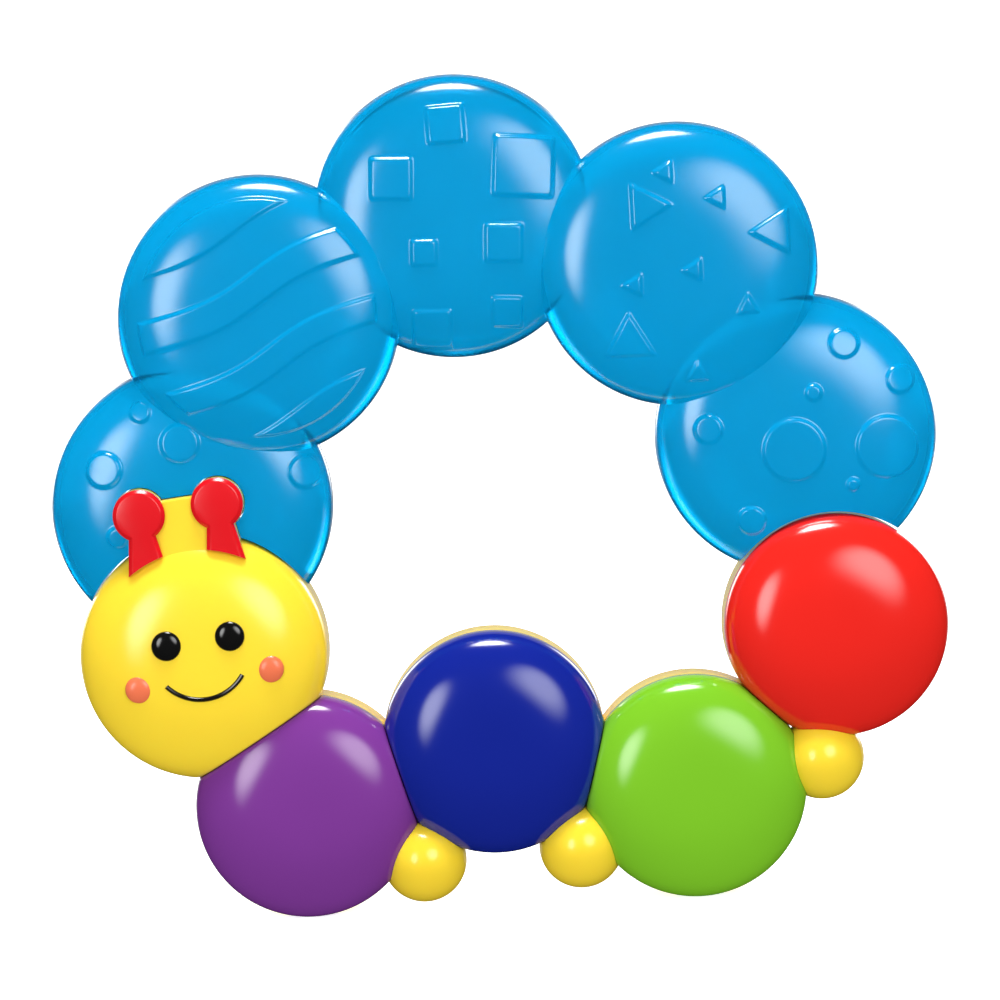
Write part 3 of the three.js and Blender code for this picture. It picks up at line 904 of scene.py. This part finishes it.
def chain(lobes):
    """The five discs joined into one."""
    return combined(lobes[0], lobes[1:], "UNION")


SKIN_CREASE = 48
# The material indices of the skin's inner wall.
WETTED, DRY = 1, 2
WATER_CLEAR = 0.05 * MM
# The water's surface is a trough under the air at the top of the highest disc.
AIR_DISC = 2
AIR_BEND = 35 * MM
AIR_REACH = 20 * MM
# Faces on the trough itself are counted as above the water.
ON_THE_SURFACE = 0.02 * MM


def inside(clear=0.0):
    """The room inside the skin, smaller all round by clear."""
    wall = sizes().skin + clear
    room = chain([lobe_solid(i, -wall, 5) for i in range(len(LOBES))])
    return combined(room, end_cuts(wall), "DIFFERENCE")


def air_centre():
    """The middle of the round space that the water keeps out of, as (x, z)."""
    return Vector((LOBES[AIR_DISC][0].x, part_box("water_fill")[1].z + AIR_BEND))


def above_water(point, middle):
    return (Vector((point.x, point.z)) - middle).length < AIR_BEND + ON_THE_SURFACE


def lined(outer, room):
    """outer with the room's faces, turned round, as its inner wall."""
    room.data.set_sharp_from_angle(angle=math.radians(SKIN_CREASE))
    bm = bmesh.new()
    bm.from_mesh(room.data)
    bmesh.ops.reverse_faces(bm, faces=bm.faces)
    middle = air_centre()
    for face in bm.faces:
        face.smooth = True
        face.material_index = DRY if above_water(face.calc_center_median(), middle) else WETTED
    bm.from_mesh(outer.data)
    bm.to_mesh(outer.data)
    bm.free()
    data = room.data
    bpy.data.objects.remove(room)
    bpy.data.meshes.remove(data)


class TOY_OT_teether(bpy.types.Operator):
    """Build the teether's soft hollow skin with its raised patterns"""

    bl_idname = "toy.teether"
    bl_label = "Teether"

    def execute(self, context):
        skin = chain([patterned_lobe(i) for i in range(len(LOBES))])
        skin.name = "teether_skin"
        combined(skin, end_cuts(), "DIFFERENCE")
        finished(skin, "teether_blue", ["teether_front_shell", "teether_rear_shell"], crease=SKIN_CREASE)
        skin.data.materials.append(clear_inside("wetted_skin", (0.99, 0.99, 0.99), alpha=WETTED_ALPHA))
        skin.data.materials.append(clear_inside("dry_skin", (0.97, 0.99, 0.99), 1.3))
        lined(skin, inside())
        plug = bpy.data.objects["fill_plug"]
        plug.data.materials.clear()
        plug.data.materials.append(finish_for("teether_blue"))
        return {"FINISHED"}


DROPS = {"count": 150, "smallest": 0.12 * MM, "largest": 0.38 * MM, "flatness": 0.5}
# Where the drops are: how far out, as shares of the disc's area, and how they spread round its top.
DROP_SHARES = (0.3, 0.96)
DROP_ANGLES = (90, 22)


def droplets():
    """Drops of water on the front wall of the air space, most of them near the disc's edge."""
    chance = random.Random(7)
    centre = LOBES[AIR_DISC][0]
    reach = sizes().lobe_radius - sizes().skin
    middle = air_centre()
    bm = bmesh.new()
    made = 0
    while made < DROPS["count"]:
        share = chance.uniform(*DROP_SHARES) ** 0.5
        angle = math.radians(chance.gauss(*DROP_ANGLES))
        place = centre + Vector((math.cos(angle), math.sin(angle))) * reach * share
        size = DROPS["smallest"] + (DROPS["largest"] - DROPS["smallest"]) * chance.random() ** 3
        if (place - middle).length > AIR_BEND - 2 * size:
            continue
        made += 1
        height = lobe_height(share, -sizes().skin) - DROPS["flatness"] * size
        spot = at_depth(place, lobe_middle(AIR_DISC) + height)
        press = Matrix.Diagonal((1, DROPS["flatness"], chance.uniform(0.8, 1.2), 1))
        bmesh.ops.create_icosphere(
            bm, subdivisions=2, radius=size, matrix=Matrix.Translation(spot) @ press
        )
    return object_from(bm, "water_drops")


class TOY_OT_water(bpy.types.Operator):
    """Build the water, which leaves a little air at the top of the highest disc"""

    bl_idname = "toy.water"
    bl_label = "Water"

    def execute(self, context):
        water = inside(WATER_CLEAR)
        water.name = "water"
        middle = air_centre()
        air = spun(rounded_bar(AIR_BEND, -AIR_REACH, AIR_REACH, 0), middle, DOME_STEPS * 2)
        combined(water, [object_from(air, "air")], "DIFFERENCE")
        finished(water, "water", ["water_fill"], crease=40)
        water.data.materials.append(clear_inside("water_surface", (0.95, 0.98, 0.99), 1.33))
        for face in water.data.polygons:
            face.material_index = 1 if above_water(face.center, middle) else 0
        drops = finished(droplets(), "water", [])
        drops.data.materials[0] = water.data.materials[1]
        return {"FINISHED"}


# ---------- the studio ----------
CAMERA = {"aim": (0.7, 69.4), "distance": 690, "elevation": 4, "roll": 3.02, "width": 170}
# Each soft box: its name, place, size and the power of its light.
BOXES = (
    ("left_box", (-0.46, -0.88, 0.22), (0.42, 0.66), 3.0),
    ("right_box", (0.38, -0.86, 0.36), (0.7, 0.74), 4.4),
    ("top_box", (0.0, -0.12, 0.62), (0.3, 0.2), 4.0),
    ("left_back_box", (-0.5, 0.8, 0.3), (0.5, 0.7), 3.4),
    ("right_back_box", (0.5, 0.8, 0.3), (0.5, 0.7), 3.4),
)
# A white card behind the toy, which only its reflections show.
CARD = {"place": (0, 1.3, 0.5), "size": (2.8, 1.9), "power": 8}
# The floor is flat out to its reach, then curves up into a wall.
FLOOR = {"reach": 1.6, "curve": 0.5, "height": 1.6}
AIR_LIGHT = 0.62
BACKDROP_GLOW = 0.8


def area_light(name, place, aim, size, power):
    light = bpy.data.lights.new(name, "AREA")
    light.shape = "RECTANGLE"
    light.size, light.size_y = size
    light.energy = power
    made = bpy.data.objects.new(name, light)
    made.location = place
    made.rotation_euler = (Vector(aim) - Vector(place)).to_track_quat("-Z", "Y").to_euler()
    made.visible_camera = False
    bpy.context.collection.objects.link(made)
    return made


def soft_box(name, place, aim, size, power):
    """A light that fades from its middle to its edge."""
    light = area_light(name, place, aim, size, power).data
    light.use_nodes = True
    tree = light.node_tree
    place_on_box = tree.nodes.new("ShaderNodeNewGeometry")
    centred = tree.nodes.new("ShaderNodeMapping")
    centred.inputs["Location"].default_value = (-1, -1, 0)
    centred.inputs["Scale"].default_value = (2, 2, 1)
    fade = tree.nodes.new("ShaderNodeTexGradient")
    fade.gradient_type = "SPHERICAL"
    steps = tree.nodes.new("ShaderNodeMapRange")
    steps.interpolation_type = "SMOOTHSTEP"
    steps.inputs["From Max"].default_value = 0.7
    steps.inputs["To Max"].default_value = 2.0
    tree.links.new(place_on_box.outputs["Parametric"], centred.inputs["Vector"])
    tree.links.new(centred.outputs["Vector"], fade.inputs["Vector"])
    tree.links.new(fade.outputs["Fac"], steps.inputs["Value"])
    tree.links.new(steps.outputs["Result"], tree.nodes["Emission"].inputs["Strength"])


class TOY_OT_stage(bpy.types.Operator):
    """Set up the pale floor, the soft lights and the camera"""

    bl_idname = "toy.stage"
    bl_label = "Studio"

    def execute(self, context):
        scene = context.scene
        scene.view_settings.view_transform = "Standard"
        self.floor_and_wall()
        world = bpy.data.worlds.new("studio_air")
        world.use_nodes = True
        air = world.node_tree.nodes["Background"]
        air.inputs["Color"].default_value = (1, 1, 1, 1)
        air.inputs["Strength"].default_value = AIR_LIGHT
        scene.world = world
        world.cycles_visibility.glossy = False
        world.cycles_visibility.transmission = False
        aim = (0, 0, CAMERA["aim"][1] * MM)
        for name, place, size, power in BOXES:
            soft_box(name, place, aim, size, power)
        card = area_light("back_card", CARD["place"], aim, CARD["size"], CARD["power"])
        card.visible_diffuse = False
        card.visible_transmission = False
        self.camera(scene)
        return {"FINISHED"}

    def floor_and_wall(self):
        """A round pale floor that curves up into a wall all round."""
        material, shader = new_material("studio_white")
        shader.inputs["Roughness"].default_value = 0.9
        shader.inputs["Specular IOR Level"].default_value = 0.0
        shader.inputs["Emission Color"].default_value = (1, 1, 1, 1)
        shader.inputs["Emission Strength"].default_value = BACKDROP_GLOW
        mottle(material, shader, colours().studio, 0.01, 3)
        bm = bmesh.new()
        reach, curve, height = FLOOR["reach"], FLOOR["curve"], FLOOR["height"]
        turn = arc((reach, curve), curve, -90, 0, 16)
        points = [(0, 0), *turn, (reach + curve, height)]
        line = [bm.verts.new((x, 0, z)) for x, z in points]
        for a, b in zip(line, line[1:]):
            bm.edges.new((a, b))
        bmesh.ops.spin(
            bm,
            geom=bm.verts[:] + bm.edges[:],
            cent=(0, 0, 0),
            axis=(0, 0, 1),
            angle=TAU,
            steps=96,
            use_merge=True,
        )
        tidied(bm)
        floor = object_from(bm, "studio_floor")
        for face in floor.data.polygons:
            face.use_smooth = True
        floor.data.materials.append(material)
        floor.visible_diffuse = False
        floor.visible_glossy = False

    def camera(self, scene):
        data = bpy.data.cameras.new("camera")
        data.angle = 2 * math.atan(CAMERA["width"] / 2 / CAMERA["distance"])
        camera = bpy.data.objects.new("camera", data)
        lift = math.radians(CAMERA["elevation"])
        back = Vector((0, -math.cos(lift), math.sin(lift)))
        aim = Vector((CAMERA["aim"][0], 0, CAMERA["aim"][1])) * MM
        camera.location = aim + back * CAMERA["distance"] * MM
        facing = (-back).to_track_quat("-Z", "Y").to_matrix()
        camera.rotation_euler = (facing @ Matrix.Rotation(-math.radians(CAMERA["roll"]), 3, "Z")).to_euler()
        bpy.context.collection.objects.link(camera)
        scene.camera = camera


# ---------- the add-on ----------
PIECES = (
    TOY_OT_casing,
    TOY_OT_caps,
    TOY_OT_feet,
    TOY_OT_head,
    TOY_OT_antennae,
    TOY_OT_face_buttons,
    TOY_OT_teether,
    TOY_OT_water,
    TOY_OT_screws,
    TOY_OT_beads,
    TOY_OT_stage,
)


class TOY_PT_panel(bpy.types.Panel):
    """Lists the toy's pieces, sizes and colours"""

    bl_idname = "TOY_PT_panel"
    bl_label = "Teething ring"
    bl_space_type = "VIEW_3D"
    bl_region_type = "UI"
    bl_category = "Teething ring"

    def draw(self, context):
        layout = self.layout
        for piece in PIECES:
            layout.operator(piece.bl_idname)
        for group in (context.scene.toy_sizes, context.scene.toy_colours):
            box = layout.box()
            for key in group.bl_rna.properties.keys():
                if key not in ("rna_type", "name"):
                    box.prop(group, key)


CLASSES = (ToySizes, ToyColours, *PIECES, TOY_PT_panel)


def register():
    for cls in CLASSES:
        bpy.utils.register_class(cls)
    bpy.types.Scene.toy_sizes = PointerProperty(type=ToySizes)
    bpy.types.Scene.toy_colours = PointerProperty(type=ToyColours)


def unregister():
    del bpy.types.Scene.toy_colours
    del bpy.types.Scene.toy_sizes
    for cls in reversed(CLASSES):
        bpy.utils.unregister_class(cls)


def main():
    register()
    for piece in PIECES:
        group, name = piece.bl_idname.split(".")
        getattr(getattr(bpy.ops, group), name)()


if __name__ == "__main__":
    main()
